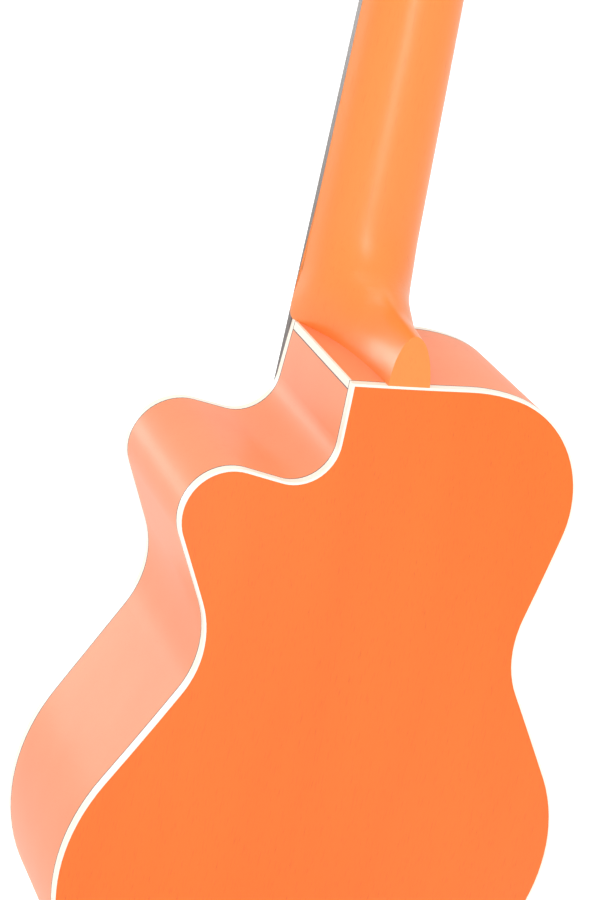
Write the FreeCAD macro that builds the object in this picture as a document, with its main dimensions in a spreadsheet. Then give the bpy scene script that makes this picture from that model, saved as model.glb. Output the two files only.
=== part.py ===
import FreeCAD, Part
import math
import os
import re
import Sketcher

# A concert ukulele with a cutaway and an arched back, as separate solids in millimetres.
# The frame: x to the treble side, y to the back, z to the headstock, origin at the nut,
# on the centre line, in the plane where the fingerboard is glued to the neck.

SIZES = [
    # Scale and fingerboard
    ("scale_length", 380.0, "nut to saddle"),
    ("body_fret_count", 14, "frets from the nut to the body"),
    ("fret_count", 18, "frets on the board"),
    ("nut_width", 35.3, "board width at the nut"),
    ("board_width", 45.9, "board width at the body"),
    ("board_thickness", 3.4, "thickness of the fingerboard"),
    ("board_overrun", 8.0, "board past the last fret"),
    ("fret_width", 2.0, "crown of a fret, along the board"),
    ("fret_height", 0.9, "crown of a fret above the board"),
    ("fret_inset", 0.4, "fret ends short of the board edge"),
    ("tang_width", 0.6, "tang of a fret, along the board"),
    ("tang_depth", 1.5, "tang of a fret, into the board"),
    ("dot_radius", 2.5, "position dot on the face"),
    ("dot_depth", 0.9, "inlay depth of a face dot"),
    ("dot_spacing", 17.0, "between the two dots at the octave"),
    ("side_dot_radius", 0.9, "position dot on the edge"),
    ("side_dot_depth", 1.6, "inlay depth of an edge dot"),
    ("nut_thickness", 4.5, "nut along the neck"),
    ("nut_flat", 1.5, "level top of the nut, along the neck"),
    ("nut_rise", 0.8, "nut above the strings' lower side"),
    ("nut_fall", 2.0, "nut below the strings' lower side, at the headstock"),
    # Neck and heel
    ("neck_depth_nut", 15.5, "neck wood under the board at the nut"),
    ("neck_depth_body", 18.0, "neck wood under the board near the heel"),
    ("heel_sweep_radius", 26.0, "hollow curve from neck to heel"),
    ("heel_cap_length", 18.7, "heel at the back, along the neck"),
    ("heel_cap_width", 16.8, "heel at the back, across"),
    ("heel_flare_ratio", 1.0, "how fast the heel narrows towards the back on the bass side, a power"),
    ("heel_scoop_ratio", 2.7, "the same on the cutaway's side, carved slimmer for the hand"),
    ("head_round_ratio", 3.2, "power of the neck's section under the headstock"),
    ("neck_round_ratio", 2.2, "power of the neck's rounded section"),
    ("cheek_sink_ratio", 0.17, "the section's widest place beyond its joint, of the neck's depth"),
    ("cap_round_ratio", 1.9, "power of the heel cap's pointed section"),
    ("dowel_radius", 4.0, "dowels that pin the heel to the block"),
    ("dowel_length", 24.0, "half in the heel and half in the block"),
    ("dowel_spacing", 26.0, "between the two dowels"),
    ("dowel_depth", 16.0, "first dowel behind the board"),
    # Headstock
    ("head_tilt", 13.0, "degrees that the headstock leans back"),
    ("head_length", 118.0, "headstock past the nut"),
    ("head_thickness", 12.5, "headstock wood"),
    ("head_flare_length", 26.0, "from the nut to the wide part"),
    ("head_low_width", 57.0, "headstock at the end of the flare"),
    ("head_top_width", 64.0, "headstock at the crown"),
    ("crown_height", 9.0, "rise of the crown's curve"),
    ("veneer_thickness", 1.2, "facing of the headstock"),
    # Body outline
    ("lower_bout_width", 210.0, "widest part of the body"),
    ("bout_round_share", 0.39667, "radius of the lower bout as a share of its width"),
    ("lower_bout_drop", 101.6, "from the waist to the lower bout"),
    ("tail_angle", 18.985, "degrees that the tail's flat curve turns to each side"),
    ("waist_width", 130.6, "narrowest part of the body"),
    ("waist_round_share", 0.6388, "radius of the waist as a share of the room beside its neighbours"),
    ("waist_drop", 103.0, "from the shoulder to the waist"),
    ("upper_bout_radius", 43.9, "curve of the bass upper bout"),
    ("shoulder_radius", 75.8, "flatter curve of the bass shoulder"),
    ("shoulder_angle", 16.4, "degrees that the shoulder curve turns"),
    ("shoulder_flat", 26.1, "flat shoulder on the bass side of the centre line"),
    ("corner_offset", 22.5, "cutaway corner from the centre line"),
    ("cutaway_lean_angle", 4.5, "degrees that the cutaway's first run leans out"),
    ("cutaway_run", 23.0, "straight first run of the cutaway"),
    ("cutaway_radius", 16.5, "hollow curve of the cutaway"),
    ("cutaway_turn_angle", 97.8, "degrees that the hollow curve turns"),
    ("horn_run", 14.1, "straight run from the cutaway to the horn"),
    ("horn_radius", 19.4, "curve of the horn"),
    # Body depth and plates
    ("body_depth", 67.2, "soundboard face to back at the neck"),
    ("dome_radius", 920.0, "arch of the back, a sphere"),
    ("dome_apex", 155.0, "deepest point of the back, from the shoulder"),
    ("top_thickness", 1.8, "soundboard"),
    ("back_thickness", 2.0, "back plate"),
    ("side_thickness", 2.0, "bent sides"),
    ("lining_thickness", 5.0, "linings, across"),
    ("lining_height", 11.0, "linings, along the side"),
    ("glue_line", 0.05, "room for glue between curved pieces"),
    ("binding_width", 1.0, "binding seen on the plate"),
    ("binding_height", 3.1, "binding seen on the side"),
    ("purfling_width", 0.4, "dark line beside the binding"),
    ("block_width", 60.0, "neck block, across"),
    ("block_length", 27.0, "neck block, along the body"),
    ("tail_block_width", 56.0, "tail block, across"),
    ("tail_block_length", 15.0, "tail block, along the body"),
    # Sound hole and braces
    ("hole_radius", 27.5, "sound hole"),
    ("hole_share", 0.5612, "sound hole's centre, as a share of the way from the shoulder to the saddle"),
    ("rosette_inner_radius", 30.0, "inside of the rosette"),
    ("rosette_line", 0.8, "thin ring of the rosette"),
    ("rosette_band", 3.4, "wide ring of the rosette"),
    ("rosette_depth", 0.7, "inlay depth of the rosette"),
    ("brace_width", 6.0, "braces, along the body"),
    ("brace_height", 8.0, "braces, off the plate"),
    ("brace_scallop", 22.0, "tapered end of a brace"),
    ("brace_tip_share", 0.35, "height left at a brace's end"),
    ("brace_gap", 7.5, "from the sound hole to the upper brace"),
    ("fan_gap", 3.7, "from the fan braces to the tail block"),
    ("fan_taper", 20.5, "thinned end of a fan brace"),
    ("fan_width", 5.0, "fan braces, across"),
    ("fan_height", 5.0, "fan braces, off the plate"),
    ("fan_spacing", 24.0, "between fan braces at their upper ends"),
    ("fan_angle", 9.0, "degrees that the outer fan braces splay"),
    # Bridge
    ("bridge_width", 88.0, "bridge across the body"),
    ("bridge_length", 20.0, "bridge along the body"),
    ("bridge_front", 8.0, "saddle to the bridge's front edge"),
    ("wing_height", 3.0, "bridge ends"),
    ("tie_block_width", 62.0, "tall middle of the bridge"),
    ("tie_block_height", 6.6, "tall middle of the bridge"),
    ("bridge_round", 6.0, "corner radius of the bridge"),
    ("saddle_width", 54.0, "saddle across"),
    ("saddle_thickness", 2.6, "saddle along the body"),
    ("saddle_depth", 4.0, "saddle in its slot"),
    ("saddle_fit", 0.05, "room round the saddle"),
    ("groove_gap", 0.6, "string grooves end short of the saddle"),
    ("knot_drop", 7.2, "string knot behind the saddle"),
    ("knot_radius", 1.3, "string knot"),
    ("knot_height", 3.2, "string knot above the soundboard"),
    ("knot_room", 0.5, "room round the knot"),
    ("plate_width", 80.0, "bridge plate across"),
    ("plate_length", 30.0, "bridge plate along the body"),
    ("plate_thickness", 1.8, "bridge plate"),
    # Strings
    ("nut_spacing", 28.0, "outer strings at the nut"),
    ("saddle_spacing", 42.0, "outer strings at the saddle"),
    ("nut_action", 0.35, "strings over the first fret's crown"),
    ("octave_action", 2.4, "strings over the twelfth fret's crown"),
    ("string_g_radius", 0.31, "g string"),
    ("string_c_radius", 0.43, "c string"),
    ("string_e_radius", 0.40, "e string"),
    ("string_a_radius", 0.33, "a string"),
    ("string_bend", 2.4, "curve of a string over the saddle and the nut"),
    ("slot_room", 0.12, "room round a string in its slot"),
    ("winding_turns", 2.5, "turns of a string on its post"),
    ("winding_gap", 0.45, "between two turns on a post"),
    ("winding_room", 0.15, "between a turn and its post"),
    # Tuners
    ("post_offset", 18.0, "post from the centre line"),
    ("lower_post", 40.0, "lower posts past the nut"),
    ("upper_post", 82.0, "upper posts past the nut"),
    ("post_radius", 3.0, "post in its bushing"),
    ("post_waist_radius", 2.5, "post where the string winds"),
    ("post_waist_length", 6.2, "post where the string winds"),
    ("post_cap_length", 2.2, "head of the post"),
    ("post_room", 0.2, "room round a post in the wood"),
    ("post_hole_radius", 0.9, "string hole through the post"),
    ("spigot_radius", 2.0, "post inside the wheel"),
    ("rivet_radius", 2.7, "peened end over the wheel"),
    ("rivet_height", 0.6, "peened end over the wheel"),
    ("running_gap", 0.05, "radial room of a turning shaft"),
    ("bushing_radius", 4.0, "sleeve of the post bushing"),
    ("bushing_length", 8.0, "sleeve of the post bushing"),
    ("flange_radius", 4.7, "flange of the post bushing"),
    ("flange_height", 1.0, "flange of the post bushing"),
    ("plate_half_width", 6.2, "tuner plate across"),
    ("tuner_plate_thickness", 1.0, "tuner plate"),
    ("plate_bow", 4.1, "rise of the tuner plate's round ends"),
    ("plate_top", 10.6, "tuner plate past the post, away from the nut"),
    ("plate_bottom", 14.8, "tuner plate past the post, towards the nut"),
    ("screw_top", 8.0, "screw from the post, away from the nut"),
    ("screw_bottom", 12.6, "screw from the post, towards the nut"),
    ("screw_radius", 0.8, "plate screw shank"),
    ("screw_head_radius", 1.8, "plate screw head"),
    ("screw_head_height", 1.1, "plate screw head"),
    ("screw_length", 8.0, "plate screw under its head"),
    ("wheel_teeth", 15, "teeth of the wheel"),
    ("worm_pitch", 2.0, "advance of the worm's thread in one turn"),
    ("worm_radius", 2.3, "pitch radius of the worm"),
    ("worm_turns", 3, "turns of thread"),
    ("tooth_addendum", 0.5, "tooth above the pitch line"),
    ("tooth_dedendum", 0.7, "tooth below the pitch line"),
    ("tooth_play", 0.16, "play on each flank"),
    ("pressure_angle", 20.0, "degrees of the flank"),
    ("centre_play", 0.05, "extra distance from worm to wheel"),
    ("wheel_width", 2.2, "toothed wheel"),
    ("hub_radius", 3.4, "hub under the wheel"),
    ("wheel_lift", 0.15, "hub off the plate"),
    ("worm_lift", 0.25, "worm off the plate"),
    ("shaft_radius", 1.5, "button shaft"),
    ("lug_thickness", 1.2, "lugs that carry the shaft"),
    ("lug_half_width", 2.9, "lugs along the neck"),
    ("lug_cover", 1.4, "lug metal over the shaft"),
    ("lug_gap", 0.2, "from the thread to the lug"),
    ("shaft_tail", 0.8, "shaft past the inner lug"),
    ("button_start", 33.0, "button from the centre line"),
    ("button_length", 16.0, "button along its shaft"),
    ("button_half_width", 6.0, "button across"),
    ("button_half_thickness", 3.4, "button through"),
    ("button_bore", 9.0, "shaft inside the button"),
    # Cutting
    ("cut_overrun", 2.0, "how far a cutter runs past a face"),
    ("same_place", 0.0005, "two points that are nearer than this are one"),
]

PLATE_Y_TURN = FreeCAD.Rotation(FreeCAD.Vector(1, 0, 0), -90)
BUTTON_SHARES = [(0.0, 0.42, 0.62), (0.10, 0.50, 0.70), (0.42, 0.93, 0.96), (0.70, 1.0, 1.0),
                 (0.92, 0.80, 0.82), (1.0, 0.50, 0.52)]
BLEND_SHARES = [(1.0, 1.0), (0.33, 0.5), (-1.0, 0.0)]
FLARE_BOW_SHARES = (0.33, 0.6)
SADDLE_CROWN_SHARES = (0.5, 0.25)
SCREW_HEAD_SHARES = [(1.0, 0.25), (0.67, 0.83)]
OCTAVE = 12
DOT_FRETS = (5, 7, 10, 12, 15)
STRINGS = ("g", "c", "e", "a")

doc = FreeCAD.newDocument("Ukulele")
sheet = doc.addObject("Spreadsheet::Sheet", "Sizes")
for row, (alias, number, meaning) in enumerate(SIZES, start=1):
    sheet.set("A%d" % row, meaning)
    sheet.set("B%d" % row, repr(number))
    sheet.setAlias("B%d" % row, alias)
doc.recompute()

NODES = {}


def bind(text):
    """Write each size's alias in an expression as the sheet's cell."""
    return re.sub(r"\b[a-z]+(?:_[a-z]+)+\b", lambda found: "Sizes." + found.group(0), text)


def value(text):
    """The number that an expression of sizes gives."""
    return float(sheet.evalExpression(bind(text)))


def vector(x, y, z):
    return FreeCAD.Vector(x, y, z)


def node(label, made):
    """Name a finished sub-part: the label is also its file's name."""
    made.Label = label
    NODES[label] = made
    return made


def keep(label, shape):
    """A sub-part whose shape is worked out here from the sheet."""
    made = doc.addObject("Part::Feature", label)
    made.Shape = shape
    return node(label, made)


def helper(name, shape, start=None):
    """An unnamed shape that other objects are cut from. Start is its place along y."""
    made = doc.addObject("Part::Feature", name)
    made.Shape = shape
    if start is not None:
        made.setExpression("Placement.Base.y", bind(start))
    return made


def extrude(name, face, start, end):
    """Extrude a face of the plane y = 0 from one y to another."""
    made = doc.addObject("Part::Extrusion", name)
    made.Base = helper(name + "_face", face, start)
    made.DirMode = "Custom"
    made.Dir = vector(0, 1, 0)
    made.Solid = True
    made.setExpression("LengthFwd", bind("(%s) - (%s)" % (end, start)))
    return made


def join(kind, name, base, tool):
    """A Part::Cut, Part::Common or Part::Fuse of two objects."""
    made = doc.addObject("Part::" + kind, name)
    made.Base = base
    made.Tool = tool
    return made


def cylinder_y(name, radius, start, end, x, z):
    """A round cutter or pin along y."""
    made = doc.addObject("Part::Cylinder", name)
    made.setExpression("Radius", bind(radius))
    made.setExpression("Height", bind("(%s) - (%s)" % (end, start)))
    made.Placement = FreeCAD.Placement(vector(0, 0, 0), PLATE_Y_TURN)
    for letter, text in (("x", x), ("y", start), ("z", z)):
        made.setExpression("Placement.Base." + letter, bind(text))
    return made


def box(name, x, y, z):
    """A box from pairs of expressions: low and high x, y and z."""
    made = doc.addObject("Part::Box", name)
    for letter, side, (low, high) in zip("xyz", ("Length", "Width", "Height"), (x, y, z)):
        made.setExpression(side, bind("(%s) - (%s)" % (high, low)))
        made.setExpression("Placement.Base." + letter, bind(low))
    return made


def ball(name, drop):
    """The back's sphere, smaller by a drop: all the body's depth lies inside it."""
    made = doc.addObject("Part::Sphere", name)
    made.setExpression("Radius", bind("dome_radius - (%s)" % drop))
    made.setExpression("Placement.Base.y", bind("body_depth - sqrt(dome_radius ^ 2 - dome_apex ^ 2)"))
    made.setExpression("Placement.Base.z", bind(SHOULDER + " - dome_apex"))
    return made


def body(label, x="0", y="0", z="0"):
    made = doc.addObject("PartDesign::Body", label)
    for letter, text in (("x", x), ("y", y), ("z", z)):
        made.setExpression("Placement.Base." + letter, bind(text))
    return node(label, made)


def sketch_on(owner, plane, name):
    sketch = owner.newObject("Sketcher::SketchObject", owner.Label + "_" + name)
    support = next(part for part in owner.Origin.OriginFeatures if part.Role == plane)
    sketch.AttachmentSupport = (support, [""])
    sketch.MapMode = "FlatFace"
    return sketch


def pin(sketch, geometry, point, x, y):
    """Hold a sketch point at two expressions of sizes."""
    for kind, text, axis in (("DistanceX", x, -2), ("DistanceY", y, -1)):
        if value(text) == 0:
            sketch.addConstraint(Sketcher.Constraint("PointOnObject", geometry, point, axis))
        else:
            held = Sketcher.Constraint(kind, -1, 1, geometry, point, value(text))
            sketch.setExpression("Constraints[%d]" % sketch.addConstraint(held), bind(text))


def draw_polygon(sketch, corners):
    """A closed run of lines, each corner held by expressions."""
    first = sketch.GeometryCount
    places = [vector(value(x), value(y), 0) for x, y in corners]
    for start, end in zip(places, places[1:] + places[:1]):
        sketch.addGeometry(Part.LineSegment(start, end))
    for index, (x, y) in enumerate(corners):
        after = first + (index + 1) % len(corners)
        sketch.addConstraint(Sketcher.Constraint("Coincident", first + index, 2, after, 1))
        pin(sketch, first + index, 1, x, y)


def draw_rectangle(sketch, x, y):
    draw_polygon(sketch, [(x[0], y[0]), (x[1], y[0]), (x[1], y[1]), (x[0], y[1])])


def draw_circle(sketch, x, y, radius):
    circle = Part.Circle(vector(value(x), value(y), 0), vector(0, 0, 1), value(radius))
    index = sketch.addGeometry(circle)
    held = sketch.addConstraint(Sketcher.Constraint("Radius", index, value(radius)))
    sketch.setExpression("Constraints[%d]" % held, bind(radius))
    pin(sketch, index, 3, x, y)


def pad(owner, sketch, length, centred=False, reversed_side=False):
    made = owner.newObject("PartDesign::Pad", sketch.Name + "_pad")
    made.Profile = sketch
    made.Midplane = centred
    made.Reversed = reversed_side
    made.setExpression("Length", bind(length))
    return made


def pocket(owner, sketch, length, centred=False, reversed_side=False):
    made = owner.newObject("PartDesign::Pocket", sketch.Name + "_pocket")
    made.Profile = sketch
    made.Midplane = centred
    made.Reversed = reversed_side
    made.setExpression("Length", bind(length))
    return made


# Places along the neck

SHOULDER = "(0 - scale_length * (1 - 2 ^ (0 - body_fret_count / %d)))" % OCTAVE
SADDLE = "(0 - scale_length)"
SOUND_HOLE = "(" + SHOULDER + " * (1 - hole_share) + " + SADDLE + " * hole_share)"
BRIDGE_PLATE = "(" + SADDLE + " + bridge_front - bridge_length / 2)"
WAIST = "(" + SHOULDER + " - waist_drop)"
BOUT_RADIUS = "(lower_bout_width * bout_round_share)"
BOUT_X = "(lower_bout_width / 2 - " + BOUT_RADIUS + ")"
TAIL_RADIUS = "(" + BOUT_RADIUS + " + " + BOUT_X + " / sin(tail_angle))"
TAIL_CENTRE = "(" + WAIST + " - lower_bout_drop + " + BOUT_X + " / tan(tail_angle))"
TAIL = "(" + TAIL_CENTRE + " - " + TAIL_RADIUS + ")"
CROWN_TOP = "(board_thickness + fret_height)"


def fret_place(number):
    """How far below the nut a fret lies."""
    return value("scale_length") * (1 - 2 ** (-number / OCTAVE))


def board_half_width(distance):
    """Half the board's width at a distance from the nut."""
    spread = (value("board_width") - value("nut_width")) / 2 / fret_place(value("body_fret_count"))
    return value("nut_width") / 2 + spread * distance


# The body's outline, followed clockwise from the cutaway's corner

def along(heading):
    return math.cos(heading), math.sin(heading)


def touch(disc, heading):
    """Where the outline has this heading on a disc (x, z, bend)."""
    x, z, bend = disc
    return x + bend * math.sin(heading), z - bend * math.cos(heading)


def heading_between(first, second):
    """Heading of the straight run from one disc to the next. A bend is a disc's radius,
    plus where the outline turns left and minus where it turns right."""
    across, up = second[0] - first[0], second[1] - first[1]
    lean = (second[2] - first[2]) / math.hypot(across, up)
    return math.atan2(up, across) - math.asin(max(-1.0, min(1.0, lean)))


def disc_after(start, heading, run, bend):
    """The disc that a straight run from a start meets."""
    ahead, up = along(heading)
    x, z = start[0] + run * ahead, start[1] + run * up
    return x - bend * up, z + bend * ahead, bend


def waist_room(neighbour):
    """The radius with which the waist's curve would just touch a neighbouring disc."""
    x, z, bend = neighbour
    radius = abs(bend)
    across = value("waist_width") / 2 - abs(x)
    up = z - value(WAIST)
    return (across ** 2 + up ** 2 - radius ** 2) / (2 * (radius - across))


def outline_discs():
    shoulder = value(SHOULDER)
    first_heading = math.radians(value("cutaway_lean_angle") - 90)
    corner = (value("corner_offset"), shoulder)
    cutaway = disc_after(corner, first_heading, value("cutaway_run"), value("cutaway_radius"))
    horn_heading = first_heading + math.radians(value("cutaway_turn_angle"))
    horn = disc_after(touch(cutaway, horn_heading), horn_heading, value("horn_run"), -value("horn_radius"))
    shoulder_bend = value("shoulder_radius")
    sweep = math.radians(value("shoulder_angle"))
    reach = shoulder_bend - value("upper_bout_radius")
    flat = -value("shoulder_flat")
    upper = (flat - reach * math.sin(sweep), shoulder - shoulder_bend + reach * math.cos(sweep),
             -value("upper_bout_radius"))
    bout = (value(BOUT_X), value(WAIST + " - lower_bout_drop"), -value(BOUT_RADIUS))
    waist = value("waist_round_share") * min(waist_room(disc) for disc in (horn, bout, upper))
    waist_x = value("waist_width") / 2 + waist
    waist_z = value(WAIST)
    discs = [cutaway, horn, (waist_x, waist_z, waist), bout, (0.0, value(TAIL_CENTRE), -value(TAIL_RADIUS)),
             (-bout[0], bout[1], bout[2]), (-waist_x, waist_z, waist), upper,
             (flat, shoulder - shoulder_bend, -shoulder_bend)]
    return discs, first_heading


def rim(inset):
    """The body's outline as a wire in the plane y = 0, drawn in by an inset."""
    discs, first_heading = outline_discs()
    discs = [(x, z, bend + inset) for x, z, bend in discs]
    headings = [first_heading]
    headings += [heading_between(one, other) for one, other in zip(discs, discs[1:])]
    headings.append(0.0)
    start = touch(discs[0], first_heading)
    climb = (value(SHOULDER) - inset - start[1]) / math.sin(first_heading)
    corner = (start[0] + climb * math.cos(first_heading), start[1] + climb * math.sin(first_heading))
    edges = []
    here = corner
    for disc, enter, leave in zip(discs, headings, headings[1:]):
        turn = math.copysign(1, disc[2])
        swing = (leave - enter) * turn % (2 * math.pi) * turn
        start, middle, end = [touch(disc, enter + swing * share) for share in (0, 1 / 2, 1)]
        if math.dist(here, start) > value("same_place"):
            edges.append(Part.LineSegment(flat_point(here), flat_point(start)).toShape())
            here = start
        edges.append(Part.Arc(flat_point(here), flat_point(middle), flat_point(end)).toShape())
        here = end
    edges.append(Part.LineSegment(flat_point(here), flat_point(corner)).toShape())
    return Part.Wire(edges)


def flat_point(place):
    """A point of the plane y = 0."""
    return vector(place[0], 0, place[1])


def rim_face(inset):
    return Part.Face(rim(value(inset)))


def rim_ring(outer, inner):
    """The strip of plane between two insets of the outline."""
    return Part.Face(rim(value(outer))).cut(Part.Face(rim(value(inner))))


def rim_span(inset, z):
    """The lowest and highest x of the drawn-in outline at a height."""
    reach = value("lower_bout_width")
    line = Part.LineSegment(vector(-reach, 0, z), vector(reach, 0, z)).toShape()
    inside = line.common(rim_face(inset))
    return inside.BoundBox.XMin, inside.BoundBox.XMax


# Plates of the sound box

DEEP = "body_depth + brace_height + lining_height"
BACK_INSIDE = "back_thickness + glue_line"
INSIDE = "side_thickness + glue_line"


def make_soundboard():
    face = rim_face("binding_width + glue_line")
    board = extrude("top_blank", face, "0", "top_thickness")
    hole = cylinder_y("top_hole", "hole_radius", "0 - cut_overrun", "top_thickness + cut_overrun",
                      "0", SOUND_HOLE)
    outer = "rosette_inner_radius + 2 * rosette_line + rosette_band + glue_line"
    groove = cylinder_y("groove_outside", outer, "0 - cut_overrun", "rosette_depth", "0", SOUND_HOLE)
    core = cylinder_y("groove_inside", "rosette_inner_radius - glue_line",
                      "0 - 2 * cut_overrun", "rosette_depth + cut_overrun", "0", SOUND_HOLE)
    open_board = join("Cut", "top_open", board, hole)
    node("soundboard", join("Cut", "soundboard", open_board, join("Cut", "groove_cutter", groove, core)))


def make_rosette():
    """Three inlaid rings round the sound hole: two thin lines and a wide band."""
    rings = []
    radius = value("rosette_inner_radius")
    for width in (value("rosette_line"), value("rosette_band"), value("rosette_line")):
        outer = Part.makeCylinder(radius + width, value("rosette_depth"))
        rings.append(outer.cut(Part.makeCylinder(radius, value("rosette_depth"))))
        radius += width
    made = keep("rosette", Part.makeCompound(rings))
    made.Placement = FreeCAD.Placement(vector(0, 0, value(SOUND_HOLE)), PLATE_Y_TURN)


def make_back():
    face = rim_face("binding_width + glue_line")
    blank = extrude("back_blank", face, "0", DEEP)
    shell = join("Cut", "back_shell", blank, ball("back_inner_ball", "back_thickness"))
    node("back_plate", join("Common", "back_plate", shell, ball("back_outer_ball", "0")))


def make_sides():
    """Two bent sides, rebated along both edges for the binding. They meet at the tail and,
    at the cutaway's corner, either side of the corner strip."""
    wall = extrude("side_blank", rim_ring("0", "side_thickness"), "top_thickness", DEEP)
    wall = join("Common", "side_arched", wall, ball("side_ball", BACK_INSIDE))
    rebate = rim_ring("0 - cut_overrun", "binding_width + glue_line")
    front = extrude("front_rebate", rebate, "0", "binding_height + purfling_width + glue_line")
    rear = extrude("rear_rebate_blank", rebate, "0", DEEP)
    rebate = ball("rebate_ball", "binding_height + purfling_width + glue_line")
    rear = join("Cut", "rear_rebate", rear, rebate)
    wall = join("Cut", "side_front_cut", wall, front)
    wall = join("Cut", "side_rear_cut", wall, rear)
    slot = extrude("corner_slot", corner_patch("0 - cut_overrun", "binding_width + glue_line", "0 - cut_overrun",
                                               "binding_height + purfling_width + glue_line"), "0", DEEP)
    wall = join("Cut", "side_corner_cut", wall, slot)
    wall = join("Cut", "side_dowel_cut", wall, dowel_cutter("side_dowels"))
    doc.recompute()
    edge = value("corner_offset - side_thickness")
    low = value(SHOULDER) - 2 * value("lower_bout_width")
    reach = value("lower_bout_width")
    depth = value(DEEP) + reach
    corner_z = value(SHOULDER + " - side_thickness")
    split = Part.makePolygon([vector(0, -reach, low), vector(reach, -reach, low),
                              vector(reach, -reach, corner_z),
                              vector(reach, -reach, reach), vector(value("corner_offset"), -reach, reach),
                              vector(edge, -reach, corner_z), vector(0, -reach, corner_z - edge),
                              vector(0, -reach, low)])
    treble_room = Part.Face(split).extrude(vector(0, depth + reach, 0))
    room = helper("treble_room", treble_room)
    node("treble_side", join("Common", "treble_side", wall, room))
    gap = Part.Face(split).makeOffset2D(value("glue_line")).extrude(vector(0, depth + reach, 0))
    node("bass_side", join("Cut", "bass_side", wall, helper("bass_gap", gap)))


def corner_patch(low_x, high_x, low_run, high_run):
    """A slanted rectangle at the cutaway's corner: x is measured in from the corner and run
    down the cutaway's first straight."""
    ahead, up = along(math.radians(value("cutaway_lean_angle") - 90))
    corners = []
    for inward, run in ((low_x, low_run), (high_x, low_run), (high_x, high_run), (low_x, high_run)):
        x = value("corner_offset") - value(inward) + value(run) * ahead
        corners.append(vector(x, 0, value(SHOULDER) + value(run) * up))
    return Part.Face(Part.makePolygon(corners + corners[:1]))


def make_bindings():
    """Cream strips let into both edges of the sides, each over a thin dark line."""
    strip = rim_ring("0", "binding_width")
    node("front_binding", extrude("front_binding", strip, "0", "binding_height"))
    node("front_purfling", extrude("front_purfling", strip, "binding_height",
                                   "binding_height + purfling_width"))
    rear = extrude("rear_strip", strip, "0", DEEP)
    rear = join("Common", "rear_strip_arched", rear, ball("rear_strip_ball", "0"))
    node("back_binding", join("Cut", "back_binding", rear, ball("binding_ball", "binding_height")))
    line = extrude("rear_line", strip, "0", DEEP)
    line = join("Common", "rear_line_arched", line, ball("line_ball", "binding_height"))
    inner = ball("purfling_ball", "binding_height + purfling_width")
    node("back_purfling", join("Cut", "back_purfling", line, inner))


def make_corner_strip():
    """The upright strip in the cutaway's corner runs from one binding to the other."""
    start = "binding_height + purfling_width"
    for label, low, high in (("corner_binding", "0", "binding_height"),
                             ("corner_purfling", "binding_height", "binding_height + purfling_width")):
        strip = extrude(label + "_blank", corner_patch("0", "binding_width", low, high), start, DEEP)
        node(label, join("Common", label, strip, ball(label + "_ball", start)))


def make_blocks():
    wide = "block_width / 2"
    room = extrude("neck_block_room", rim_face(INSIDE), "top_thickness", DEEP)
    room = join("Common", "neck_block_arched", room, ball("neck_block_ball", BACK_INSIDE))
    block = box("neck_block_box", ("0 - " + wide, wide), ("0", DEEP),
                (SHOULDER + " - side_thickness - block_length", SHOULDER))
    block = join("Common", "neck_block_solid", room, block)
    node("neck_block", join("Cut", "neck_block", block, dowel_cutter("block_dowels")))
    wide = "tail_block_width / 2"
    room = extrude("tail_block_room", rim_face(INSIDE), "top_thickness", DEEP)
    room = join("Common", "tail_block_arched", room, ball("tail_block_ball", BACK_INSIDE))
    block = box("tail_block_box", ("0 - " + wide, wide), ("0", DEEP),
                (TAIL, TAIL + " + side_thickness + tail_block_length"))
    node("tail_block", join("Common", "tail_block", room, block))


def dowel_solids(extra):
    """Two dowels along the neck, behind the board."""
    radius = value("dowel_radius") + extra
    length = value("dowel_length") + 2 * extra
    pins = []
    for place in (value("dowel_depth"), value("dowel_depth + dowel_spacing")):
        start = vector(0, place, value(SHOULDER) - length / 2)
        pins.append(Part.makeCylinder(radius, length, start, vector(0, 0, 1)))
    return pins


def dowel_cutter(name):
    return helper(name, Part.makeCompound(dowel_solids(value("glue_line"))))


def block_room(name, side):
    """The space that both blocks take, which the linings leave free."""
    wide = "(block_width / 2 + glue_line)"
    upper = box(name + "_upper", ("0 - " + wide, wide), ("0 - cut_overrun", DEEP + " + cut_overrun"),
                (SHOULDER + " - side_thickness - block_length - glue_line", SHOULDER + " + cut_overrun"))
    wide = "(tail_block_width / 2 + glue_line)"
    lower = box(name + "_lower", ("0 - " + wide, wide), ("0 - cut_overrun", DEEP + " + cut_overrun"),
                (TAIL + " - cut_overrun", TAIL + " + side_thickness + tail_block_length + glue_line"))
    return join("Fuse", name + side, upper, lower)


def make_linings():
    strip = rim_ring(INSIDE, "side_thickness + lining_thickness")
    front = extrude("front_lining_strip", strip, "top_thickness", "top_thickness + lining_height")
    node("front_lining", join("Cut", "front_lining", front, block_room("front_room", "_all")))
    rear = extrude("back_lining_strip", strip, "0", DEEP)
    rear = join("Common", "back_lining_arched", rear, ball("back_lining_ball", BACK_INSIDE))
    inside = ball("back_lining_inner_ball", BACK_INSIDE + " + lining_height")
    rear = join("Cut", "back_lining_band", rear, inside)
    node("back_lining", join("Cut", "back_lining", rear, block_room("back_room", "_all")))


def brace_profile(low, high, plate, inner):
    """A brace seen along the body: full height between two scalloped ends."""
    scallop = value("brace_scallop")
    tip = plate + (inner - plate) * value("brace_tip_share")
    corners = [(low, plate), (high, plate), (high, tip), (high - scallop, inner), (low + scallop, inner),
               (low, tip)]
    return [vector(x, y, 0) for x, y in corners]


def make_top_brace(label, place):
    """A bar across the soundboard between the linings."""
    low, high = brace_span(place)
    plate = value("top_thickness")
    corners = brace_profile(low, high, plate, plate + value("brace_height"))
    face = Part.Face(Part.makePolygon(corners + corners[:1]))
    bar = face.extrude(vector(0, 0, value("brace_width")))
    bar.translate(vector(0, 0, value(place) - value("brace_width") / 2))
    keep(label, bar)


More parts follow.
